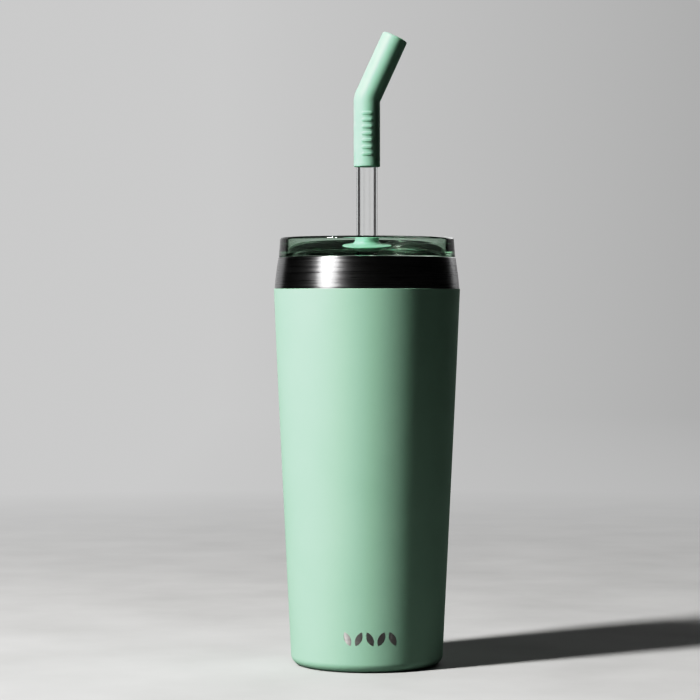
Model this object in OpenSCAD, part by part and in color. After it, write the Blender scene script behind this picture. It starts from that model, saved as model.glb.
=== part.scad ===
// Double-wall vacuum tumbler with a press-in lid, a glass straw and an angled silicone mouthpiece.
// Origin: centre of the base, on the surface it stands on. +Z up, front is -Y, the mouthpiece leans to +X.

/* [Cup] */
// Height of the steel rim
rim_h = 192; // [186:0.5:200]
// Outer diameter of the steel rim
rim_d = 83.7; // [83.2:0.1:84.4]
// Height of the painted wall
coat_h = 177.2; // [172:0.2:179]
// Diameter of the painted wall at its top edge
shoulder_d = 87.9; // [87:0.1:90]
// Diameter that the painted wall would reach at the base
foot_d = 71.4; // [70:0.1:73]
// Height where the wall's taper eases off
knee_h = 135; // [120:1:145]
// Diameter of the painted wall at that height
knee_d = 84.3; // [84:0.1:84.8]
// Radius of the bottom corner
corner_r = 4.5; // [3.5:0.1:6]
// Thickness of each steel wall
steel_t = 0.5; // [0.4:0.05:0.6]
// Thickness of the powder coat
coat_t = 0.25; // [0.15:0.05:0.3]

/* [Liner] */
// Height of the liner's floor, inside
floor_h = 12.5; // [11.5:0.1:14]
// Inner diameter just above the floor corner
liner_foot_d = 64; // [62:0.2:65]
// Inner diameter at the shoulder
liner_top_d = 79.8; // [79.4:0.1:80]
// Radius of the floor corner
liner_corner_r = 8; // [5:0.5:9]

/* [Lid] */
// Height of the lid above the steel rim
lid_rise = 9.4; // [8.5:0.1:11]
// Diameter of the lid at its top edge
lid_top_d = 82; // [81:0.1:82.6]
// Diameter of the lid where it meets the rim
lid_foot_d = 83.4; // [83:0.1:83.6]
// Depth of the dish in the lid's top
recess_depth = 13.4; // [12.8:0.1:13.8]
// Diameter of the dish at its mouth
recess_d = 77.2; // [76.4:0.1:77.6]
// Thickness of the lid's plate
plate_t = 2.4; // [2:0.1:3]
// Depth of the skirt below the steel rim
skirt_depth = 11; // [10:0.5:14]

/* [Straw] */
// Outer diameter of the straw
straw_d = 10; // [9.6:0.1:10.2]
// Wall thickness of the straw
straw_wall = 1.5; // [1:0.1:1.6]
// Height of the straw's lower end
straw_foot_h = 15.5; // [15.5:0.5:30]
// Length of the straw
straw_length = 241.5; // [239:0.5:242]

/* [Mouthpiece] */
// Outer diameter of the mouthpiece
mouth_d = 12.4; // [12.2:0.1:13.4]
// Height of its lower end
mouth_foot_h = 234.7; // [230:0.1:236]
// Height of its bend
bend_h = 266.8; // [264:0.1:275]
// Lean of its upper part, in degrees
lean = 24.6; // [10:0.1:35]
// Length of its upper part
mouth_reach = 32.2; // [25:0.1:40]
// Number of raised grip ribs on its front
rib_count = 7; // [5:1:8]

/* [Hidden] */
$fn = 128;

// Colours
mint = [0.78, 0.89, 0.83];
steel = [0.72, 0.72, 0.70];
copper = [0.80, 0.50, 0.34];
lid_green = [0.20, 0.42, 0.32, 0.6];
clear_glass = [0.85, 0.90, 0.90, 0.5];
seal_white = [0.88, 0.93, 0.89];
getter_grey = [0.35, 0.35, 0.36];

// Gaps
running_gap = 0.05;  // between a piece and the one that it turns or slides in
seat_gap = 0.06;     // between faces that rest on each other
far = 200;           // longer than any cut needs
sliver = 0.01;       // how far a cut passes the face that it opens

// Outer wall: two cones, tangent to a round corner at the foot
wall_slope = (knee_d - foot_d) / 2 / knee_h;
wall_angle = atan(wall_slope);
corner_c = foot_d / 2 + wall_slope * corner_r - corner_r / cos(wall_angle);
coat_lift = 0.12;    // the coat stops this far above the surface that the cup stands on
ring_d = 58;         // inner diameter of the flat ring that the cup stands on
lip_r = 0.35;        // chamfer of the steel lip

function wall_r(z) =
    z < knee_h ? foot_d / 2 + wall_slope * z
               : knee_d / 2 + (shoulder_d - knee_d) / 2 * (z - knee_h) / (coat_h - knee_h);

// Everything inside the painted surface, moved in by skin
module body_2d(skin) {
    round_r = corner_r - skin;
    tangent_z = corner_r - round_r * sin(wall_angle);
    tangent_r = corner_c + round_r * cos(wall_angle);
    polygon([
        [0, tangent_z], [tangent_r, tangent_z], [wall_r(knee_h) - skin, knee_h],
        [wall_r(coat_h) - skin, coat_h], [0, coat_h]]);
    intersection() {
        translate([corner_c, corner_r]) circle(round_r);
        translate([corner_c - sliver, corner_r - round_r]) square([far, tangent_z - corner_r + round_r + sliver]);
    }
    translate([0, corner_r - round_r]) square([corner_c, tangent_z - corner_r + round_r + sliver]);
}

// Mouth: the liner's inner wall above the shoulder
weld_h = 2;                            // height of the weld between liner and shell at the lip
mouth_r = rim_d / 2 - 2 * steel_t;     // inner radius of the lip
liner_slope = (liner_top_d - liner_foot_d) / 2 / (coat_h - floor_h - liner_corner_r);
function liner_r(z) =
    z < coat_h ? liner_foot_d / 2 + liner_slope * (z - floor_h - liner_corner_r)
               : liner_top_d / 2 + (mouth_r - liner_top_d / 2) * (z - coat_h) / (rim_h - weld_h - coat_h);

// Everything inside the liner's inner wall, moved out by grow
module liner_2d(grow) {
    corner_z = floor_h + liner_corner_r;
    round_r = liner_corner_r + grow;
    inner_r = liner_r(corner_z) - liner_corner_r;
    translate([inner_r, corner_z]) intersection() {
        circle(round_r);
        translate([-sliver, -round_r]) square([far, round_r + sliver]);
    }
    translate([0, floor_h - grow]) square([inner_r, round_r + sliver]);
    polygon([
        [0, corner_z], [liner_r(corner_z) + grow, corner_z], [liner_r(coat_h) + grow, coat_h],
        [mouth_r + grow, rim_h - weld_h], [mouth_r + grow, rim_h], [0, rim_h]]);
}

// Lens shape, pointed at both ends
module leaf_2d(length, width) {
    round_r = (length * length + width * width) / (4 * width);
    intersection() {
        translate([round_r - width / 2, 0]) circle(round_r);
        translate([width / 2 - round_r, 0]) circle(round_r);
    }
}

// Etched mark: a row of leaves, tilted by turns
mark_h = 16;
mark_x = 1.2;
leaf_count = 5;
leaf_pitch = 5.2;
leaf_length = 7;
leaf_width = 3;
leaf_tilt = 24;
module mark_2d() {
    for (i = [0 : leaf_count - 1])
        translate([mark_x + (i - (leaf_count - 1) / 2) * leaf_pitch, mark_h])
            rotate(i % 2 == 0 ? leaf_tilt : -leaf_tilt) leaf_2d(leaf_length, leaf_width);
}

module outer_shell() {
    neck_r = wall_r(coat_h) - coat_t;
    color(steel) rotate_extrude() {
        difference() {
            body_2d(coat_t);
            body_2d(coat_t + steel_t);
            square([ring_d / 2, far]);
        }
        // the foot turns in to the standing ring
        translate([ring_d / 2, 0]) square([corner_c - ring_d / 2, steel_t + coat_t]);
        // bare collar, narrowing to the lip
        polygon([
            [neck_r - steel_t, coat_h], [neck_r, coat_h], [rim_d / 2, rim_h - lip_r],
            [rim_d / 2 - lip_r, rim_h], [mouth_r + steel_t, rim_h], [mouth_r + steel_t, rim_h - weld_h]]);
    }
}

module powder_coat() {
    color(mint) difference() {
        rotate_extrude() difference() {
            body_2d(0);
            body_2d(coat_t);
            square([far, coat_lift]);
            square([corner_c, far]);
        }
        rotate([90, 0, 0]) linear_extrude(foot_d) mark_2d();
    }
}

module inner_cup() {
    color(steel) rotate_extrude() difference() {
        liner_2d(steel_t);
        liner_2d(0);
    }
}

foil_gap = 0.4;
foil_t = 0.15;
foil_margin = 14;    // bare stretch of the liner above and below the foil
module copper_foil() {
    low = floor_h + foil_margin;
    high = coat_h - foil_margin;
    near = steel_t + foil_gap;
    color(copper) rotate_extrude() polygon([
        [liner_r(low) + near, low], [liner_r(low) + near + foil_t, low],
        [liner_r(high) + near + foil_t, high], [liner_r(high) + near, high]]);
}

// Base: a pan with a raised floor, a domed port in the middle and a cover over the port
pan_h = 2.2;         // height of the pan's underside
port_r = 5;          // radius of the dimple around the port
port_rise = 1.6;     // how far the dimple rises
port_hole_r = 1;
module outer_base() {
    wall_r_out = ring_d / 2;
    color(steel) rotate_extrude() {
        translate([wall_r_out - steel_t, 0]) square([steel_t, pan_h + steel_t]);
        translate([port_r, pan_h]) square([wall_r_out - port_r, steel_t]);
        translate([port_r, pan_h]) square([steel_t, port_rise + steel_t]);
        translate([port_hole_r, pan_h + port_rise]) square([port_r - port_hole_r + steel_t, steel_t]);
    }
}

cover_h = 1.1;       // height of the cover's underside
module base_cover() {
    cover_r = ring_d / 2 - steel_t - 0.4;
    step_r = cover_r - 4;
    color(steel) rotate_extrude() {
        polygon([
            [0, cover_h + 0.4], [step_r, cover_h + 0.4], [step_r + 0.4, cover_h], [cover_r, cover_h],
            [cover_r, pan_h], [step_r + 0.4, pan_h], [step_r, cover_h + 0.4 + steel_t],
            [0, cover_h + 0.4 + steel_t]]);
    }
}

module port_seal() {
    bead_r = 3;
    color(getter_grey) rotate_extrude() {
        translate([0, pan_h + port_rise - 0.8]) square([bead_r, 0.8]);
        translate([0, pan_h + port_rise - sliver]) square([port_hole_r - sliver, steel_t]);
    }
}

getter_x = 16;
getter_r = 4;
getter_t = 2.6;
strap_w = 4;
module getter_pill() {
    translate([getter_x, 0, pan_h + steel_t]) color(getter_grey) cylinder(r = getter_r, h = getter_t);
}

module getter_clip() {
    strap_t = 0.4;
    strap_half = getter_r + strap_t;
    foot_length = 3;
    translate([getter_x, -strap_w / 2, pan_h + steel_t]) color(steel) {
        translate([-strap_half, 0, getter_t]) cube([2 * strap_half, strap_w, strap_t]);
        for (side = [0, 1]) mirror([side, 0, 0]) {
            translate([getter_r, 0, 0]) cube([strap_t, strap_w, getter_t]);
            translate([getter_r, 0, 0]) cube([foot_length, strap_w, strap_t]);
        }
    }
}

// Lid: a clear dish whose wall reaches down into the mouth and holds the seal
lid_foot_z = rim_h + seat_gap;
lid_top_z = rim_h + lid_rise;
plate_top_z = lid_top_z - recess_depth;
plate_foot_z = plate_top_z - plate_t;
skirt_foot_z = rim_h - skirt_depth;
skirt_r = mouth_r - 1.8;
skirt_wall = 2.2;
dish_foot_r = skirt_r - skirt_wall;
rim_round = 1;       // rounding of the lid's upper edges
cove_r = 3;          // rounding where the dish's wall meets its floor
hole_r = 5.6;        // hole that the straw goes through
groove_depth = 1.2;
groove_foot_z = skirt_foot_z + 2.6;
groove_h = 4.2;
vent_r = 1.25;
vent_x = -22;

module lid_body() {
    inner_edge = recess_d / 2;
    outer_edge = lid_top_d / 2;
    round_z = lid_top_z - rim_round;
    color(lid_green) difference() {
        rotate_extrude() difference() {
            union() {
                // wall of the dish, with a rim that stands on the steel lip
                polygon([
                    [dish_foot_r, skirt_foot_z], [skirt_r, skirt_foot_z], [skirt_r, lid_foot_z],
                    [lid_foot_d / 2, lid_foot_z], [outer_edge, round_z], [outer_edge - rim_round, lid_top_z],
                    [inner_edge + rim_round, lid_top_z], [inner_edge, round_z], [dish_foot_r, plate_top_z]]);
                translate([outer_edge - rim_round, round_z]) circle(rim_round);
                translate([inner_edge + rim_round, round_z]) circle(rim_round);
                // floor of the dish
                translate([hole_r, plate_foot_z]) square([dish_foot_r - hole_r + sliver, plate_t]);
                // cove between the floor and the wall
                difference() {
                    translate([dish_foot_r - cove_r, plate_top_z - sliver]) square(cove_r + sliver);
                    translate([dish_foot_r - cove_r, plate_top_z + cove_r]) circle(cove_r);
                }
            }
            // groove for the seal
            translate([skirt_r - groove_depth, groove_foot_z]) square([far, groove_h]);
        }
        // air inlet
        translate([vent_x, 0, plate_foot_z - 1]) cylinder(r = vent_r, h = plate_t + 2);
    }
}

// Seal: a band in the groove, with two lips that wipe the mouth
module lid_seal() {
    band_in = skirt_r - groove_depth + running_gap;
    band_foot = groove_foot_z + seat_gap;
    band_h = groove_h - 2 * seat_gap;
    lip_t = 0.7;
    lip_clear = 0.2;
    color(seal_white) rotate_extrude() {
        translate([band_in, band_foot]) square([skirt_r - band_in, band_h]);
        for (z = [band_foot + 0.3, band_foot + band_h - 0.3 - 2 * lip_t]) {
            polygon([
                [skirt_r - sliver, z], [liner_r(z) - lip_clear - 0.3, z + lip_t * 0.6],
                [liner_r(z) - lip_clear, z + lip_t * 1.2], [liner_r(z) - lip_clear - 0.3, z + lip_t * 1.6],
                [skirt_r - sliver, z + 2 * lip_t]]);
        }
    }
}

// Stopper on the straw: a thin flange, a cone below it that closes the hole when the straw is pushed down,
// and a domed collar above it
stopper_r = 11.7;
stopper_h = 193.3;   // height of the flange's edge
module straw_stopper() {
    bore_r = straw_d / 2 + running_gap;
    nose_r = bore_r + 0.45;
    collar_r = bore_r + 0.6;
    edge_t = 0.5;
    collar_top = stopper_h + 5.5;
    color(mint) rotate_extrude() polygon([
        [bore_r, stopper_h - 2.3], [nose_r, stopper_h - 2.3], [nose_r + 0.9, stopper_h - 1.8],
        [stopper_r - 2.6, stopper_h - 0.6], [stopper_r - 0.3, stopper_h - edge_t / 2], [stopper_r, stopper_h],
        [stopper_r - 0.3, stopper_h + edge_t / 2], [collar_r + 1.3, stopper_h + 0.7],
        [collar_r + 0.3, stopper_h + 1.2], [collar_r, stopper_h + 2], [collar_r - 0.1, collar_top - 0.7],
        [collar_r - 0.3, collar_top - 0.2], [bore_r + 0.1, collar_top], [bore_r, collar_top]]);
}

module glass_straw() {
    inner_r = straw_d / 2 - straw_wall;
    round_r = straw_wall / 2;
    color(clear_glass) rotate_extrude() {
        translate([inner_r, straw_foot_h + round_r]) square([straw_wall, straw_length - straw_wall]);
        for (z = [straw_foot_h + round_r, straw_foot_h + straw_length - round_r])
            translate([inner_r + round_r, z]) circle(round_r, $fn = 32);
    }
}

// Mouthpiece: a sleeve over the straw and a leaning tip, with grip ribs on the front
sip_r = 3.75;        // radius of the drinking channel
mouth_round = 0.8;   // chamfer of the outer edges
rib_pitch = 3.2;
rib_t = 1.5;
rib_w = 5;
rib_rise = 0.35;
rib_h = 250.2;       // height of the middle rib
bend_swell = 0.05;   // how far the ball at the bend covers the mitre of the two bars

// Puts its children on the axis of the leaning tip, from the bend up
module at_tip() {
    translate([0, 0, bend_h]) rotate([0, lean, 0]) children();
}

// A round bar that follows the mouthpiece, from height low to top along the tip, with a ball at the bend
module bent_bar(r, low, top) {
    translate([0, 0, low]) cylinder(r = r, h = bend_h - low);
    translate([0, 0, bend_h]) sphere(r = r / cos(lean / 2) + bend_swell);
    at_tip() cylinder(r = r, h = top);
}

module grip_ribs() {
    low = rib_h - (rib_count - 1) / 2 * rib_pitch;
    intersection() {
        translate([0, 0, mouth_foot_h]) cylinder(r = mouth_d / 2 + rib_rise, h = bend_h - mouth_foot_h);
        for (i = [0 : rib_count - 1])
            translate([-rib_w / 2, -mouth_d, low + i * rib_pitch - rib_t / 2]) cube([rib_w, mouth_d / 2 + 2, rib_t]);
    }
}

module mouthpiece() {
    straw_top = straw_foot_h + straw_length;
    outer_r = mouth_d / 2;
    color(mint) difference() {
        union() {
            translate([0, 0, mouth_foot_h]) cylinder(r1 = outer_r - mouth_round, r2 = outer_r, h = mouth_round);
            bent_bar(outer_r, mouth_foot_h + mouth_round, mouth_reach - mouth_round);
            at_tip() translate([0, 0, mouth_reach - mouth_round])
                cylinder(r1 = outer_r, r2 = outer_r - mouth_round, h = mouth_round);
            grip_ribs();
        }
        translate([0, 0, mouth_foot_h - 1])
            cylinder(r = straw_d / 2 + running_gap, h = straw_top + seat_gap - mouth_foot_h + 1);
        bent_bar(sip_r, straw_top, mouth_reach + 1);
    }
}

outer_shell();
powder_coat();
inner_cup();
copper_foil();
outer_base();
base_cover();
port_seal();
getter_clip();
getter_pill();
lid_body();
lid_seal();
straw_stopper();
glass_straw();
mouthpiece();
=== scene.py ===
import math

import bpy
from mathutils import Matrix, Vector


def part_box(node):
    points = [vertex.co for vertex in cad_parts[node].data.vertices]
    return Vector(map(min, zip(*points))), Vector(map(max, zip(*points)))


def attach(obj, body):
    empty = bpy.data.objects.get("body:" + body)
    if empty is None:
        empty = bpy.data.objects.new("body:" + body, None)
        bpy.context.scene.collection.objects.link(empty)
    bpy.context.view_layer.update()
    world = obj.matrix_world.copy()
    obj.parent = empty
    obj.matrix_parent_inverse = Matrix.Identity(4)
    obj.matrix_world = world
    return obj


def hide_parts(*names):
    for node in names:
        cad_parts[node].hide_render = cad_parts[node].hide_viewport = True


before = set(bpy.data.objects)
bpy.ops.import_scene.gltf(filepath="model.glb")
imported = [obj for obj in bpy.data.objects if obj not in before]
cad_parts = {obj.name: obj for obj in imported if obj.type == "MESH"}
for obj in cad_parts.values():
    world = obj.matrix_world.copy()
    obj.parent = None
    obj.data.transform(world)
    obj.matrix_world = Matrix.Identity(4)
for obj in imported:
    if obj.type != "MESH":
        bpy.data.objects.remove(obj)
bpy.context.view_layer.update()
scene = bpy.context.scene

# ---------------------------------------------------------------- sizes, in millimetres
MM = 0.001
SEGMENTS = 192          # steps round a turned piece
FINE_SEGMENTS = 256     # the same for the cup's wall and the lid
SMALL_SEGMENTS = 128    # the same for the straw and its stopper
HAIR = 0.02             # faces that would lie on each other are kept this far apart


def top_of(node):
    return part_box(node)[1].z / MM


def foot_of(node):
    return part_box(node)[0].z / MM


def radius_of(node):
    """The largest radius that stays inside the node's box on every side."""
    low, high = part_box(node)
    return min(-low.x, -low.y, high.x, high.y) / MM


# cup
RIM_H = top_of("outer_shell")
COAT_H = top_of("powder_coat")
SHOULDER_R = radius_of("powder_coat")
FOOT_R = 35.7           # the painted wall's radius, if it ran down to the base
KNEE_H, KNEE_R = 135.0, 42.15
KNEE_EASE = 25.0        # the knee is eased over this height, above it and below it
CORNER_R = 4.5
WALL_FOOT = CORNER_R + 1
COAT_T = 0.25
STEEL_T = 0.5
RING_R = 29.05          # inside of the ring that the cup stands on
RIM_R = 41.85
MOUTH_R = 40.85         # inside of the steel lip
SEAM_TOP, SEAM_FOOT = RIM_H - 1.3, RIM_H - 1.9      # slanted joint between lip and liner
FLOOR_H = foot_of("inner_cup") + STEEL_T
LINER_FOOT_R, LINER_TOP_R, LINER_CORNER = 31.65, 39.9, 8.0

# etched mark
LEAF_COUNT, LEAF_PITCH = 5, 5.2
LEAF_LENGTH, LEAF_WIDTH = 7.0, 3.0
LEAF_TILT = math.radians(24)
MARK_X, MARK_H = 1.2, 16.0      # middle of the row of leaves

# lid and seal
LID_TOP = top_of("lid_body")
LID_FOOT_R = radius_of("lid_body")
SKIRT_FOOT = foot_of("lid_body")
SKIRT_R = MOUTH_R - 1.8
SKIRT_T = 2.2
DISH_R, DISH_MOUTH_R = SKIRT_R - SKIRT_T, 38.6      # at the dish's foot, and at its top edge
DISH_DEPTH, PLATE_T = 13.4, 2.4
PLATE_TOP = LID_TOP - DISH_DEPTH
PLATE_FOOT = PLATE_TOP - PLATE_T
GROOVE_R = SKIRT_R - 1.2
GROOVE_FOOT, GROOVE_TOP = SKIRT_FOOT + 2.6, SKIRT_FOOT + 6.8
HOLE_R = 5.6            # the straw's hole
INLET_X, INLET_R = -22, 1.25
SEAL_FOOT, SEAL_TOP = foot_of("lid_seal"), top_of("lid_seal")
SEAL_R = radius_of("lid_seal")

# straw, stopper and mouthpiece
STRAW_FOOT, STRAW_TOP = foot_of("glass_straw"), top_of("glass_straw")
STRAW_R = radius_of("glass_straw")
STRAW_T = 1.5
SLEEVE_R = STRAW_R + 0.05       # bore of the silicone pieces that sit on the straw
STOPPER_FOOT, STOPPER_TOP = foot_of("straw_stopper"), top_of("straw_stopper")
STOPPER_R = radius_of("straw_stopper")
FLANGE_H = STOPPER_FOOT + 2.3   # height of the stopper's widest edge
PIECE_FOOT = foot_of("mouthpiece")
PIECE_R = 6.2
PIECE_REACH = 32.15     # from the mouthpiece's bend to its tip
SIP_R = 3.75
LEAN = math.radians(24.6)
BEND_H = 266.8          # where the mouthpiece's two centrelines meet
BEND_R = 6.9            # radius of its bend
BEND_CUT = BEND_R * math.tan(LEAN / 2)
BEND_START = BEND_H - BEND_CUT
RIB_COUNT, RIB_PITCH = 7, 3.2
RIB_T, RIB_W, RIB_RISE = 1.5, 5.0, 0.33
RIBS_H = 250.2          # height of the middle rib


def wall_r(z):
    """Radius of the painted wall at height z: two cones, eased into each other."""
    low, high = (KNEE_R - FOOT_R) / KNEE_H, (SHOULDER_R - KNEE_R) / (COAT_H - KNEE_H)
    if z < KNEE_H - KNEE_EASE:
        return FOOT_R + low * z
    if z > KNEE_H + KNEE_EASE:
        return KNEE_R + high * (z - KNEE_H)
    t = (z - KNEE_H + KNEE_EASE) / (2 * KNEE_EASE)
    start_r = FOOT_R + low * (KNEE_H - KNEE_EASE)
    return start_r + 2 * KNEE_EASE * (low * t + (high - low) * t * t / 2)


# ---------------------------------------------------------------- mesh helpers
def fillet(corners, steps):
    """A closed outline through corners (r, z, radius), each rounded by its own radius."""
    out = []
    for i, (r, z, radius) in enumerate(corners):
        here = Vector((r, z))
        before = Vector(corners[i - 1][:2]) - here
        after = Vector(corners[(i + 1) % len(corners)][:2]) - here
        if radius <= 0:
            out.append(here)
            continue
        a, b = before.normalized(), after.normalized()
        half = a.angle(b) / 2
        cut = min(radius / math.tan(half), 0.49 * before.length, 0.49 * after.length)
        true_radius = cut * math.tan(half)
        centre = here + (a + b).normalized() * (true_radius / math.sin(half))
        start, end = here + a * cut - centre, here + b * cut - centre
        turn = math.atan2(start.x * end.y - start.y * end.x, start.dot(end))
        for k in range(steps + 1):
            c, s = math.cos(turn * k / steps), math.sin(turn * k / steps)
            out.append(centre + Vector((start.x * c - start.y * s, start.x * s + start.y * c)))
    return out


def arc(centre, radius, start, end, steps):
    """Points on an arc, angles in degrees."""
    angles = [math.radians(start + (end - start) * k / steps) for k in range(steps + 1)]
    return [Vector((centre[0] + radius * math.cos(a), centre[1] + radius * math.sin(a))) for a in angles]


def bow(start, end, rise, steps):
    """Points from start up to end on a shallow curve that bulges outwards by rise."""
    along = end - start
    out = Vector((along.y, -along.x)).normalized()
    shares = [k / steps for k in range(steps + 1)]
    return [start + along * t + out * (4 * rise * t * (1 - t)) for t in shares]


def dense(outline, low, high, step):
    """The outline with more points where both ends of a side lie between heights low and high."""
    out = []
    for i, here in enumerate(outline):
        after = outline[(i + 1) % len(outline)]
        out.append(here)
        if low <= here.y <= high and low <= after.y <= high:
            count = int((after - here).length / step)
            out += [here.lerp(after, k / count) for k in range(1, count)]
    return out


def settle(obj):
    """Applies the object's modifiers to its mesh."""
    bpy.context.view_layer.update()
    shown = obj.evaluated_get(bpy.context.evaluated_depsgraph_get())
    done = bpy.data.meshes.new_from_object(shown)
    obj.modifiers.clear()
    obj.data = done


def smooth(obj, sharp_degrees=50):
    """Smooth shading with corner normals weighted by face area, kept in the mesh."""
    mesh = obj.data
    mesh.shade_smooth()
    mesh.set_sharp_from_angle(angle=math.radians(sharp_degrees))
    weighted = obj.modifiers.new("normals", "WEIGHTED_NORMAL")
    weighted.keep_sharp = True
    settle(obj)
    return obj


def add(name, verts, faces):
    """A new object from points in millimetres."""
    mesh = bpy.data.meshes.new(name)
    mesh.from_pydata([Vector(v) * MM for v in verts], [], faces)
    mesh.validate()
    obj = bpy.data.objects.new(name, mesh)
    scene.collection.objects.link(obj)
    return obj


def straight(s):
    """Centre and lean of a section at height s on a straight axis."""
    return Vector((0, 0, s)), 0.0


def lathe(name, outline, axis=straight, relief=None, segments=SEGMENTS):
    """Sweeps a closed outline of (r, s) round an axis. relief(r, s, angle) is added to the radius."""
    turning = sum(p.x * q.y - q.x * p.y for p, q in zip(outline, outline[1:] + outline[:1]))
    if turning < 0:
        outline = outline[::-1]
    verts, rings = [], []
    for r, s in outline:
        centre, lean = axis(s)
        across = Vector((math.cos(lean), 0, -math.sin(lean)))
        if r < 1e-6:
            rings.append([len(verts)] * segments)
            verts.append(centre)
            continue
        rings.append(range(len(verts), len(verts) + segments))
        for k in range(segments):
            angle = math.tau * k / segments
            radius = r + (relief(r, s, angle) if relief else 0)
            depth = Vector((0, radius * math.sin(angle), 0))
            verts.append(centre + across * (radius * math.cos(angle)) + depth)
    faces = []
    for low, high in zip(rings, rings[1:] + rings[:1]):
        if low[0] == low[-1] and high[0] == high[-1]:
            continue
        for k in range(segments):
            after = (k + 1) % segments
            face = (low[k], low[after], high[after], high[k])
            faces.append(tuple(dict.fromkeys(face)))
    return add(name, verts, faces)


def drill(obj, x, radius, low, high):
    """Cuts a round hole through obj, parallel to Z."""
    section = [Vector(p) for p in [(0, low), (radius, low), (radius, high), (0, high)]]
    cutter = lathe("cutter", section, segments=48)
    cutter.location.x = x * MM
    cut = obj.modifiers.new("hole", "BOOLEAN")
    cut.operation, cut.solver, cut.object = "DIFFERENCE", "EXACT", cutter
    settle(obj)
    bpy.data.objects.remove(cutter)


def place(obj, body, material, slot, *nodes):
    """Gives a finished piece its material and its body, and hides the CAD nodes it stands for. The slot
    argument is not used.
    """
    obj.data.materials.clear()
    obj.data.materials.append(material)
    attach(obj, body)
    if nodes:
        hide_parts(*nodes)


# ---------------------------------------------------------------- node trees
class Graph:
    """A node tree, with short names for the nodes that are used often."""

    def __init__(self, tree):
        self.nodes, self.links = tree.nodes, tree.links

    def feed(self, socket, value):
        """Gives a socket a number, or links it to the output of another node."""
        if isinstance(value, (int, float)):
            socket.default_value = value
        else:
            self.links.new(value, socket)

    def math(self, kind, a, b=0.0):
        node = self.nodes.new("ShaderNodeMath")
        node.operation = kind
        self.feed(node.inputs[0], a)
        self.feed(node.inputs[1], b)
        return node.outputs["Value"]

    def blend(self, first, second, share):
        """A share of the first value, and the rest of the second."""
        some = self.math("MULTIPLY", first, share)
        rest = self.math("MULTIPLY", second, 1 - share)
        return self.math("ADD", some, rest)

    def spread(self, value, low, high, start=0.3, end=0.7, ease="LINEAR"):
        """Maps value from start..end to low..high."""
        node = self.nodes.new("ShaderNodeMapRange")
        node.interpolation_type = ease
        for key, number in (("From Min", start), ("From Max", end), ("To Min", low), ("To Max", high)):
            node.inputs[key].default_value = number
        self.links.new(value, node.inputs["Value"])
        return node.outputs["Result"]

    def axes(self, vector):
        """The X, Y and Z of a vector."""
        node = self.nodes.new("ShaderNodeSeparateXYZ")
        self.links.new(vector, node.inputs["Vector"])
        return node.outputs["X"], node.outputs["Y"], node.outputs["Z"]

    def choose(self, flag, otherwise, chosen):
        """The value chosen where flag is 1, and otherwise the other one."""
        node = self.nodes.new("ShaderNodeMix")
        self.links.new(flag, node.inputs["Factor"])
        self.feed(node.inputs["A"], otherwise)
        self.feed(node.inputs["B"], chosen)
        return node.outputs["Result"]


class Paint(Graph):
    """A Principled material, with short names for what gives it detail."""

    def __init__(self, name, colour, **sockets):
        self.mat = bpy.data.materials.new(name)
        self.mat.use_nodes = True
        super().__init__(self.mat.node_tree)
        self.shader = self.nodes["Principled BSDF"]
        self.output = self.nodes["Material Output"]
        self.shader.inputs["Base Color"].default_value = (*colour, 1)
        for key, value in sockets.items():
            self.shader.inputs[key.replace("_", " ")].default_value = value
        self.coords = self.nodes.new("ShaderNodeTexCoord").outputs["Object"]

    def noise(self, scale, detail=2.0, rough=0.5):
        """Noise with that many features to the metre along X, Y and Z."""
        mapping = self.nodes.new("ShaderNodeMapping")
        mapping.inputs["Scale"].default_value = scale if isinstance(scale, tuple) else (scale,) * 3
        self.links.new(self.coords, mapping.inputs["Vector"])
        node = self.nodes.new("ShaderNodeTexNoise")
        node.inputs["Scale"].default_value = 1.0
        node.inputs["Detail"].default_value = detail
        node.inputs["Roughness"].default_value = rough
        self.links.new(mapping.outputs["Vector"], node.inputs["Vector"])
        return node.outputs["Fac"]

    def colours(self, value, first, second):
        """Blends two colours by value."""
        node = self.nodes.new("ShaderNodeMix")
        node.data_type = "RGBA"
        node.inputs["A"].default_value = (*first, 1)
        node.inputs["B"].default_value = (*second, 1)
        self.links.new(value, node.inputs["Factor"])
        self.links.new(node.outputs["Result"], self.shader.inputs["Base Color"])

    def roughness(self, value):
        self.links.new(value, self.shader.inputs["Roughness"])

    def bump(self, *layers):
        """Stacks bumps, each (height, depth in millimetres, strength)."""
        below = None
        for height, depth, strength in layers:
            node = self.nodes.new("ShaderNodeBump")
            node.inputs["Distance"].default_value = depth * MM
            node.inputs["Strength"].default_value = strength
            self.links.new(height, node.inputs["Height"])
            if below:
                self.links.new(below, node.inputs["Normal"])
            below = node.outputs["Normal"]
        self.links.new(below, self.shader.inputs["Normal"])

    def absorb(self, colour, density):
        """Tints the light on its way through the piece."""
        node = self.nodes.new("ShaderNodeVolumeAbsorption")
        node.inputs["Color"].default_value = (*colour, 1)
        node.inputs["Density"].default_value = density
        self.links.new(node.outputs["Volume"], self.output.inputs["Volume"])

    def emission(self, strength):
        """White light of that strength, as a shader."""
        node = self.nodes.new("ShaderNodeEmission")
        self.links.new(strength, node.inputs["Strength"])
        return node.outputs["Emission"]


# ---------------------------------------------------------------- materials
def powder_coat_paint():
    paint = Paint("mint_powder_coat", (0.40, 0.65, 0.495), Roughness=0.5, Specular_IOR_Level=0.7)
    cloud, peel, grain = paint.noise(30, 3), paint.noise(750), paint.noise(2600)
    tone = paint.spread(paint.blend(cloud, grain, 0.6), 0, 1)
    paint.colours(tone, (0.385, 0.635, 0.48), (0.415, 0.665, 0.51))
    paint.roughness(paint.spread(grain, 0.50, 0.60))
    paint.bump((peel, 0.05, 0.35), (grain, 0.03, 0.5))
    return paint.mat


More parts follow.
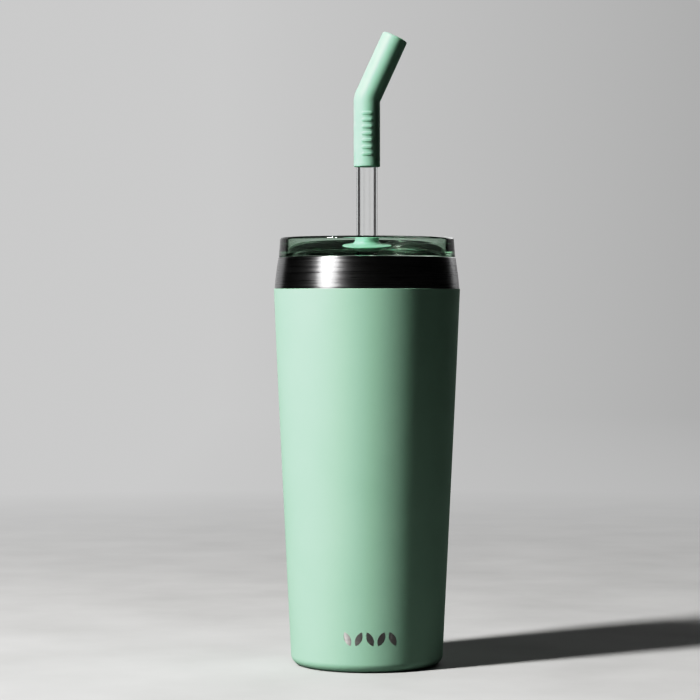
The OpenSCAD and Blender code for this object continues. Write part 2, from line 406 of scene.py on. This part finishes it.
def brushed_paint(name, colour, low, high, bite):
    """Steel brushed round the axis: fine scratches that run round, broken here and there."""
    paint = Paint(name, colour, Metallic=1.0, Anisotropic=0.75, Anisotropic_Rotation=0.25)
    fine, broad = paint.noise((60, 60, 9000), 3, 0.6), paint.noise((18, 18, 3600))
    scratch = paint.blend(fine, broad, 0.6)
    lighter = tuple(min(1, c * 1.3) for c in colour)
    darker = tuple(c * 0.7 for c in colour)
    paint.colours(paint.spread(scratch, 0, 1), darker, lighter)
    paint.roughness(paint.spread(scratch, low, high))
    paint.bump((broad, 0.006, bite), (fine, 0.008, bite))
    tangent = paint.nodes.new("ShaderNodeTangent")
    tangent.direction_type, tangent.axis = "RADIAL", "Z"
    paint.links.new(tangent.outputs["Tangent"], paint.shader.inputs["Tangent"])
    return paint.mat


def plain_metal_paint(name, colour, low, high, scale):
    """Metal that isn't brushed, with a grain of that many features to the metre."""
    paint = Paint(name, colour, Metallic=1.0)
    grain = paint.noise(scale, 3)
    darker = tuple(c * 0.85 for c in colour)
    paint.colours(paint.spread(grain, 0, 1), darker, colour)
    paint.roughness(paint.spread(grain, low, high))
    paint.bump((grain, 0.03, 0.4))
    return paint.mat


def lid_paint():
    """Clear green plastic, with a trace of haze that varies over its face."""
    paint = Paint("clear_green_lid", (1, 1, 1), IOR=1.53, Transmission_Weight=1.0)
    paint.roughness(paint.spread(paint.noise(60, 3), 0.0, 0.035))
    paint.absorb((0.14, 0.48, 0.24), density=88)
    return paint.mat


def straw_glass_paint():
    """Clear glass with a faint green tint in its depth."""
    paint = Paint("clear_glass", (1, 1, 1), IOR=1.47, Transmission_Weight=1.0)
    paint.roughness(paint.spread(paint.noise(90), 0.0, 0.012))
    paint.absorb((0.55, 0.75, 0.68), density=12)
    return paint.mat


def silicone_paint(name, first, second, scatter):
    """Soft silicone that lets a little light in, with a colour between the first and the second."""
    paint = Paint(
        name, first, Subsurface_Weight=scatter, Subsurface_Scale=0.0022, Subsurface_Radius=(0.7, 1.0, 0.85),
        Sheen_Weight=0.04, Sheen_Roughness=0.4, Specular_IOR_Level=0.3)
    cloud, grain = paint.noise(110, 3), paint.noise(3200)
    paint.colours(paint.spread(cloud, 0, 1), first, second)
    paint.roughness(paint.spread(grain, 0.40, 0.52))
    paint.bump((grain, 0.02, 0.5))
    return paint.mat


def solder_paint():
    paint = Paint("solder_glass", (0.03, 0.035, 0.035), Roughness=0.2)
    paint.bump((paint.noise(900), 0.03, 0.4))
    return paint.mat


# ---------------------------------------------------------------- cup
def foot_arc(skin):
    """The round corner at the foot of the wall, a skin's depth below the paint, from the bottom up."""
    slope = (KNEE_R - FOOT_R) / KNEE_H
    lean = math.atan(slope)
    centre_r = FOOT_R + slope * CORNER_R - CORNER_R / math.cos(lean)
    return centre_r, arc((centre_r, CORNER_R), CORNER_R - skin, -90, -math.degrees(lean), steps=14)


def wall_points(skin, high, count):
    """Points up the wall to height high, a skin's depth below the paint."""
    heights = [WALL_FOOT + (high - WALL_FOOT) * k / count for k in range(count + 1)]
    return [Vector((wall_r(z) - skin, z)) for z in heights]


def coat_skin():
    """The powder coat: it ends in a small rolled edge at the collar, and just above the standing ring."""
    lift, roll, steps = 0.4, 0.13, 40
    roll_foot = COAT_H - 0.4
    inner_skin = COAT_T - HAIR
    _, outer = foot_arc(0)
    _, inner = foot_arc(inner_skin)
    outer = [p for p in outer if p.y > lift]
    inner = [p for p in inner if p.y > lift]
    outer += wall_points(0, roll_foot, steps)
    outer += arc((SHOULDER_R - roll, COAT_H - roll), roll, 0, 90, steps=5)
    inner += wall_points(inner_skin, COAT_H, steps)
    return smooth(lathe("coat_skin", outer + inner[::-1], segments=FINE_SEGMENTS))


def collar_shell():
    """The outer steel wall, bare from the shoulder to the rounded lip."""
    outer_round, inner_round, bulge, blend_h, steps = 0.45, 0.35, 0.16, 2.0, 36
    shell_top = COAT_H - 4
    centre_r, corner = foot_arc(COAT_T)
    _, inside = foot_arc(COAT_T + STEEL_T)
    neck = Vector((SHOULDER_R - COAT_T, COAT_H))
    lip = Vector((RIM_R, RIM_H - 0.5))
    # the ring has an eased inner edge and stands on the ground, so the corner blends down to it
    outer = [Vector((RING_R, 0.25)), Vector((RING_R + 0.2, 0.02)), Vector((centre_r - 0.6, 0.0))]
    drops = [COAT_T * max(0, 1 - p.y / blend_h) for p in corner]
    outer += [Vector((p.x, max(0.0, p.y - drop))) for p, drop in zip(corner, drops)]
    outer += wall_points(COAT_T, shell_top, steps)
    outer += bow(neck - Vector((HAIR, 0)), lip, bulge, steps=14)
    outer += arc((RIM_R - outer_round, RIM_H - outer_round), outer_round, 10, 90, steps=6)
    outer += arc((MOUTH_R + inner_round, RIM_H - inner_round), inner_round, 90, 180, steps=6)
    outer += [Vector((MOUTH_R, SEAM_TOP)), Vector((MOUTH_R + STEEL_T, SEAM_FOOT))]
    inner = [Vector((neck.x - STEEL_T, COAT_H))]
    inner += wall_points(COAT_T + STEEL_T, shell_top, steps)[::-1]
    inner += inside[::-1] + [Vector((RING_R, COAT_T + STEEL_T))]
    return smooth(lathe("collar_shell", outer + inner, segments=FINE_SEGMENTS))


def liner():
    """The deep-drawn inner cup, with a raised ring turned on its floor."""
    ring_in, ring_out, flank, rise, soft, neck = 9.0, 14.0, 0.6, 0.35, 1.0, 6.0
    floor = [
        (0, FLOOR_H, 0), (ring_in, FLOOR_H, soft), (ring_in + flank, FLOOR_H + rise, soft),
        (ring_out, FLOOR_H + rise, soft), (ring_out + flank, FLOOR_H, soft),
        (LINER_FOOT_R, FLOOR_H, LINER_CORNER)]
    wall = [(LINER_TOP_R, COAT_H, neck), (MOUTH_R, RIM_H - 2.0, 2.0), (MOUTH_R, SEAM_TOP, 0)]
    outside = [
        (MOUTH_R + STEEL_T, SEAM_FOOT, 0), (LINER_TOP_R + STEEL_T, COAT_H, neck),
        (LINER_FOOT_R + STEEL_T, FLOOR_H - STEEL_T, LINER_CORNER + STEEL_T), (0, FLOOR_H - STEEL_T, 0)]
    return smooth(lathe("liner", fillet(floor + wall + outside, steps=10)))


def patch_faces(rows, columns):
    """Faces of two grids of points, one behind the other, closed all round."""
    wide = columns + 1
    count = (rows + 1) * wide
    faces = []
    for i in range(rows):
        for j in range(columns):
            a = i * wide + j
            faces.append((a, a + 1, a + wide + 1, a + wide))
            faces.append((count + a + wide, count + a + wide + 1, count + a + 1, count + a))
    rim = list(range(columns)) + [i * wide + columns for i in range(rows)]
    rim += [rows * wide + j for j in range(columns, 0, -1)] + [i * wide for i in range(rows, 0, -1)]
    faces += [(b, a, count + a, count + b) for a, b in zip(rim, rim[1:] + rim[:1])]
    return faces


def leaf_patch(centre_x, tilt):
    """One etched leaf that follows the wall, as a closed grid of points: outer skin, then inner skin."""
    rows, columns = 16, 6
    reach, blunt = 0.995, 0.02      # share of the length that is drawn, and half the width left at a tip
    radius = (LEAF_LENGTH ** 2 + LEAF_WIDTH ** 2) / (4 * LEAF_WIDTH)
    verts = []
    for proud in (0.03, -HAIR):
        for i in range(rows + 1):
            along = LEAF_LENGTH * (i / rows - 0.5) * reach
            half = math.sqrt(max(radius ** 2 - along ** 2, 0)) - (radius - LEAF_WIDTH / 2)
            half = max(half, blunt)
            for j in range(columns + 1):
                side = half * (2 * j / columns - 1)
                x = centre_x + side * math.cos(tilt) - along * math.sin(tilt)
                z = MARK_H + side * math.sin(tilt) + along * math.cos(tilt)
                r = wall_r(z) + proud
                verts.append((x, -math.sqrt(r * r - x * x), z))
    return verts, patch_faces(rows, columns)


def etched_mark():
    """A row of leaves that lean left and right in turn, etched through the coat to the steel."""
    verts, faces = [], []
    for i in range(LEAF_COUNT):
        tilt = LEAF_TILT if i % 2 == 0 else -LEAF_TILT
        centre_x = MARK_X + (i - LEAF_COUNT // 2) * LEAF_PITCH
        more_verts, more_faces = leaf_patch(centre_x, tilt)
        faces += [tuple(v + len(verts) for v in face) for face in more_faces]
        verts += more_verts
    return smooth(add("etched_mark", verts, faces))


# ---------------------------------------------------------------- lid and seal
def lid_clear():
    """Rim, drafted dish, skirt and seal groove in one clear moulding, with a straw hole and an air inlet."""
    rim_foot, rim_draft, cove = RIM_H + 0.06, 0.7, 3.0
    outline = fillet([
        (HOLE_R, PLATE_FOOT, 0.3), (DISH_R, PLATE_FOOT, 1.0),
        (DISH_R, SKIRT_FOOT, 0.5), (SKIRT_R, SKIRT_FOOT, 0.7),
        (SKIRT_R, GROOVE_FOOT, 0.2), (GROOVE_R, GROOVE_FOOT, 0.25),
        (GROOVE_R, GROOVE_TOP, 0.25), (SKIRT_R, GROOVE_TOP, 0.2),
        (SKIRT_R, rim_foot, 0.4), (LID_FOOT_R, rim_foot, 0.35),
        (LID_FOOT_R - rim_draft, LID_TOP, 1.8), (DISH_MOUTH_R, LID_TOP, 0.9),
        (DISH_R, PLATE_TOP, cove), (HOLE_R, PLATE_TOP, 0.5)], steps=9)
    obj = lathe("lid_clear", outline, segments=FINE_SEGMENTS)
    drill(obj, INLET_X, INLET_R, PLATE_FOOT - 1, PLATE_TOP + 1)
    return smooth(obj)


def seal_ring():
    """The silicone ring in the skirt's groove, with two lips that wipe the mouth of the cup."""
    band_in = GROOVE_R + 0.05
    middle = (SEAL_FOOT + SEAL_TOP) / 2
    outline = fillet([
        (band_in, SEAL_FOOT, 0.2), (SKIRT_R, SEAL_FOOT, 0.15),
        (SEAL_R - 0.1, SEAL_FOOT + 0.9, 0.25), (SEAL_R - 0.15, SEAL_FOOT + 1.5, 0.25),
        (SKIRT_R, middle, 0.3), (SEAL_R, middle + 0.95, 0.25), (SEAL_R - 0.05, middle + 1.5, 0.25),
        (SKIRT_R, SEAL_TOP, 0.15), (band_in, SEAL_TOP, 0.2)], steps=5)
    return smooth(lathe("seal_ring", outline))


# ---------------------------------------------------------------- straw, stopper and mouthpiece
def stopper_soft():
    """A thin flange on the straw, with a cone below that closes the lid's hole and a domed collar above."""
    nose, collar, half_flange = SLEEVE_R + 0.45, SLEEVE_R + 0.6, 0.25
    outline = fillet([
        (SLEEVE_R, STOPPER_FOOT, 0.1), (nose, STOPPER_FOOT, 0.15), (nose + 0.9, FLANGE_H - 1.8, 0.6),
        (STOPPER_R - 2.6, FLANGE_H - 0.6, 2.0), (STOPPER_R, FLANGE_H - half_flange, 0.24),
        (STOPPER_R, FLANGE_H + half_flange, 0.24), (collar + 1.3, FLANGE_H + 0.7, 2.0),
        (collar + 0.05, FLANGE_H + 1.9, 1.2), (collar - 0.1, STOPPER_TOP, 0.45),
        (SLEEVE_R, STOPPER_TOP, 0.1)], steps=7)
    return smooth(lathe("stopper_soft", outline, segments=SMALL_SEGMENTS))


def straw_tube():
    """A glass tube with fire-polished ends."""
    inner, melted = STRAW_R - STRAW_T, 0.7
    outline = fillet([
        (inner, STRAW_FOOT, melted), (STRAW_R, STRAW_FOOT, melted),
        (STRAW_R, STRAW_TOP, melted), (inner, STRAW_TOP, melted)], steps=6)
    return smooth(lathe("straw_tube", outline, segments=SMALL_SEGMENTS))


def mouth_axis(s):
    """Centre and lean of the mouthpiece at s millimetres up its axis, counted from the base plane."""
    if s <= BEND_START:
        return Vector((0, 0, s)), 0.0
    turned = min((s - BEND_START) / BEND_R, LEAN)
    centre = Vector((BEND_R * (1 - math.cos(turned)), 0, BEND_START + BEND_R * math.sin(turned)))
    rest = max(0.0, s - BEND_START - BEND_R * LEAN)
    return centre + Vector((math.sin(LEAN), 0, math.cos(LEAN))) * rest, turned


def grip_relief(r, s, angle):
    """Raised ribs with round ends on the front of the mouthpiece."""
    if r < PIECE_R - 0.01:
        return 0.0
    flank = 0.22                    # a rib rises over this width
    corner, half_count = RIB_T / 2, RIB_COUNT // 2
    across = abs(math.remainder(angle + math.pi / 2, math.tau)) * r
    index = max(-half_count, min(half_count, round((s - RIBS_H) / RIB_PITCH)))
    along = abs(s - RIBS_H - index * RIB_PITCH)
    dx, dz = max(across - RIB_W / 2 + corner, 0), max(along - RIB_T / 2 + corner, 0)
    t = (corner - math.hypot(dx, dz)) / flank + 0.5
    t = max(0.0, min(1.0, t))
    return RIB_RISE * t * t * (3 - 2 * t)


def mouthpiece_soft():
    """One moulded silicone sleeve: it grips the straw, bends, and narrows inside to the drinking channel."""
    end = BEND_START + BEND_R * LEAN + PIECE_REACH - BEND_CUT
    channel_foot = STRAW_TOP + 0.1
    outline = fillet([
        (SLEEVE_R, PIECE_FOOT, 0.35), (PIECE_R, PIECE_FOOT, 0.6), (PIECE_R, end, 0.9), (SIP_R, end, 0.8),
        (SIP_R, channel_foot, 0), (SLEEVE_R, channel_foot, 0)], steps=8)
    outline = dense(outline, PIECE_FOOT, end + 1, step=0.27)
    return smooth(lathe("mouthpiece_soft", outline, mouth_axis, grip_relief, segments=160))


# ---------------------------------------------------------------- stage, in metres
STAGE_RADIUS = 2.6
STAGE_STEPS = 96
BACKDROP_H = 4.0
WALL_GLOW = 0.388       # brightness of the studio wall at the left
WALL_FADE = 0.74        # share of it that is left at the right
DARK = 0.002            # brightness of the rest of the studio
# brightness before and after the tone curve, from dark to bright
TONES = ((0.03, 0.025), (0.1, 0.111), (0.2, 0.253), (0.35, 0.47), (0.5, 0.63), (0.65, 0.715))
WHITE_TO = 0.88         # what pure white comes out as


def stage_ring(height):
    """Points round the stage's edge, in millimetres."""
    angles = [math.tau * k / STAGE_STEPS for k in range(STAGE_STEPS)]
    radius = STAGE_RADIUS / MM
    return [(radius * math.cos(a), radius * math.sin(a), height / MM) for a in angles]


def wall_shade(paint):
    """Brightness of the studio wall, which falls off softly towards +X."""
    x, _, _ = paint.axes(paint.coords)
    return paint.spread(x, WALL_GLOW, WALL_FADE * WALL_GLOW, -0.2, 0.5)


def floor_paint():
    """Pale to the eye, and dark for light that bounces. Far out it goes over into the wall's glow."""
    glow_start, glow_end = 0.25, 1.1
    paint = Paint("pale_floor", (0.7, 0.7, 0.7), Roughness=0.8, Specular_IOR_Level=0.2)
    rays = paint.nodes.new("ShaderNodeLightPath").outputs
    seen = paint.math("MAXIMUM", rays["Is Camera Ray"], rays["Is Transmission Ray"])
    bounce = paint.math("MULTIPLY", paint.math("SUBTRACT", 1, seen), 0.8)
    cloud = paint.spread(paint.noise(14, 4), 0, 0.2)
    paint.colours(paint.math("ADD", cloud, bounce), (0.67, 0.67, 0.666), (0.19, 0.19, 0.19))
    distance = paint.nodes.new("ShaderNodeVectorMath")
    distance.operation = "LENGTH"
    paint.links.new(paint.coords, distance.inputs[0])
    far = paint.spread(distance.outputs["Value"], 0, 1, glow_start, glow_end)
    glow = paint.emission(paint.math("MULTIPLY", seen, wall_shade(paint)))
    mix = paint.nodes.new("ShaderNodeMixShader")
    paint.links.new(far, mix.inputs["Fac"])
    paint.links.new(paint.shader.outputs["BSDF"], mix.inputs[1])
    paint.links.new(glow, mix.inputs[2])
    paint.links.new(mix.outputs["Shader"], paint.output.inputs["Surface"])
    return paint.mat


def stage_floor():
    """A round pale floor."""
    floor = add("floor", stage_ring(0), [tuple(range(STAGE_STEPS))])
    floor.data.materials.append(floor_paint())


def stage_backdrop():
    """A pale wall all round, far from the object. Only the camera sees it, and it lights nothing."""
    verts = stage_ring(0) + stage_ring(BACKDROP_H)
    faces = []
    for k in range(STAGE_STEPS):
        after = (k + 1) % STAGE_STEPS
        faces.append((k, after, after + STAGE_STEPS, k + STAGE_STEPS))
    wall = add("backdrop", verts, faces)
    paint = Paint("pale_backdrop", (1, 1, 1))
    paint.links.new(paint.emission(wall_shade(paint)), paint.output.inputs["Surface"])
    wall.data.materials.append(paint.mat)
    wall.visible_diffuse = False
    wall.visible_glossy = False
    wall.visible_transmission = False


def studio_world():
    """What steel and glass see of the studio: a pale wall, dark sides, and next to no light elsewhere."""
    world = bpy.data.worlds.new("studio")
    scene.world = world
    world.use_nodes = True
    graph = Graph(world.node_tree)
    rays = graph.nodes.new("ShaderNodeLightPath").outputs
    across, along, up = graph.axes(graph.nodes.new("ShaderNodeTexCoord").outputs["Generated"])

    # in mirrors: the wall behind the object, which gets darker to the right
    behind = graph.spread(along, DARK, 0.40, 0.62, 0.74, "SMOOTHSTEP")
    mirrored = graph.math("MULTIPLY", behind, graph.spread(across, 1, 0.5, -0.3, 0.3, "SMOOTHSTEP"))

    # through glass: a low wall all round, with dark flags at the four corners
    sideways = graph.math("MINIMUM", graph.math("ABSOLUTE", across), graph.math("ABSOLUTE", along))
    between_flags = graph.spread(sideways, 1, 0.02, 0.40, 0.52, "SMOOTHSTEP")
    low_wall = graph.spread(up, WALL_GLOW, 0.004, 0.16, 0.30, "SMOOTHSTEP")
    through_glass = graph.math("MULTIPLY", between_flags, low_wall)

    glow = graph.choose(rays["Is Diffuse Ray"], mirrored, DARK)
    glow = graph.choose(rays["Is Transmission Ray"], glow, through_glass)
    glow = graph.choose(rays["Is Camera Ray"], glow, WALL_GLOW)
    background = graph.nodes["Background"]
    background.inputs["Color"].default_value = (1, 1, 1, 1)
    graph.links.new(glow, background.inputs["Strength"])


def softbox(name, azimuth, elevation, distance, width, height, power, colour=(1, 1, 1)):
    """An area light that faces the cup. Azimuth 0 is in front, 90 at the right."""
    a, e = math.radians(azimuth), math.radians(elevation)
    aim = Vector((0, 0, 0.15))
    towards = Vector((math.sin(a) * math.cos(e), -math.cos(a) * math.cos(e), math.sin(e)))
    light = bpy.data.lights.new(name, "AREA")
    light.shape, light.size, light.size_y = "RECTANGLE", width, height
    light.energy, light.color = power, colour
    obj = bpy.data.objects.new(name, light)
    obj.location = aim + towards * distance
    obj.rotation_euler = towards.to_track_quat("Z", "Y").to_euler()
    scene.collection.objects.link(obj)


def set_camera():
    """A long lens 1.2 m in front, a little left of the cup's axis, tipped down by about one degree."""
    distance, left, height, aim_height = 1.204, -0.008, 0.172, 0.1483
    camera = bpy.data.objects.new("camera", bpy.data.cameras.new("camera"))
    scene.collection.objects.link(camera)
    camera.data.sensor_width = 36
    camera.data.lens = 131
    camera.data.clip_start, camera.data.clip_end = 0.01, 20
    camera.location = (left, -distance, height)
    look_at = Vector((left, 0, aim_height))
    camera.rotation_euler = (look_at - camera.location).to_track_quat("-Z", "Y").to_euler()
    scene.camera = camera


def set_tones():
    """A little more contrast in the middle tones, and a soft shoulder below white."""
    view = scene.view_settings
    view.view_transform = "Standard"
    view.look = "Medium High Contrast"
    view.use_curve_mapping = True
    curve = view.curve_mapping.curves[3]
    curve.points[1].location = (1.0, WHITE_TO)
    for before, after in TONES:
        curve.points.new(before, after)
    view.curve_mapping.update()


# ---------------------------------------------------------------- build
collar_steel = brushed_paint("brushed_collar_steel", (0.35, 0.35, 0.355), low=0.20, high=0.43, bite=0.45)
liner_steel = brushed_paint("liner_steel", (0.34, 0.34, 0.335), low=0.24, high=0.34, bite=0.2)
base_steel = brushed_paint("base_steel", (0.58, 0.58, 0.57), low=0.30, high=0.40, bite=0.25)
etched_steel = brushed_paint("etched_steel", (0.42, 0.41, 0.40), low=0.42, high=0.55, bite=0.2)
clip_steel = plain_metal_paint("clip_steel", (0.55, 0.55, 0.54), low=0.3, high=0.45, scale=900)
getter = plain_metal_paint("sintered_getter", (0.16, 0.16, 0.17), low=0.6, high=0.8, scale=2400)
copper = plain_metal_paint("copper_foil_metal", (0.85, 0.47, 0.30), low=0.2, high=0.4, scale=160)
mint_silicone = silicone_paint("mint_silicone", (0.395, 0.665, 0.515), (0.425, 0.695, 0.545), scatter=0.5)
stopper_silicone = silicone_paint("stopper_silicone", (0.35, 0.66, 0.49), (0.39, 0.70, 0.53), scatter=0.4)
seal_silicone = silicone_paint("seal_silicone", (0.66, 0.80, 0.72), (0.72, 0.85, 0.78), scatter=0.6)

place(coat_skin(), "cup", powder_coat_paint(), "mint_coat", "powder_coat")
place(collar_shell(), "cup", collar_steel, "collar_steel", "outer_shell")
place(liner(), "cup", liner_steel, "liner_steel", "inner_cup")
place(etched_mark(), "cup", etched_steel, "collar_steel")
place(lid_clear(), "lid", lid_paint(), "lid_plastic", "lid_body")
place(seal_ring(), "seal", seal_silicone, "seal_silicone", "lid_seal")
place(stopper_soft(), "stopper", stopper_silicone, "stopper_silicone", "straw_stopper")
place(straw_tube(), "straw", straw_glass_paint(), "straw_glass", "glass_straw")
place(mouthpiece_soft(), "mouthpiece", mint_silicone, "mint_silicone", "mouthpiece")

CAD_PAINTS = {
    "outer_base": base_steel,
    "base_cover": base_steel,
    "port_seal": solder_paint(),
    "getter_clip": clip_steel,
    "getter_pill": getter,
    "copper_foil": copper,
}
for node, material in CAD_PAINTS.items():
    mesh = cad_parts[node].data
    mesh.materials.clear()
    mesh.materials.append(material)

stage_floor()
stage_backdrop()
studio_world()
softbox(
    "key", azimuth=-56, elevation=37, distance=1.7, width=0.2, height=0.75, power=33,
    colour=(1.0, 0.99, 0.98))
softbox("back_fill", azimuth=157, elevation=25, distance=2.1, width=1.2, height=1.2, power=4.6)
set_camera()
set_tones()
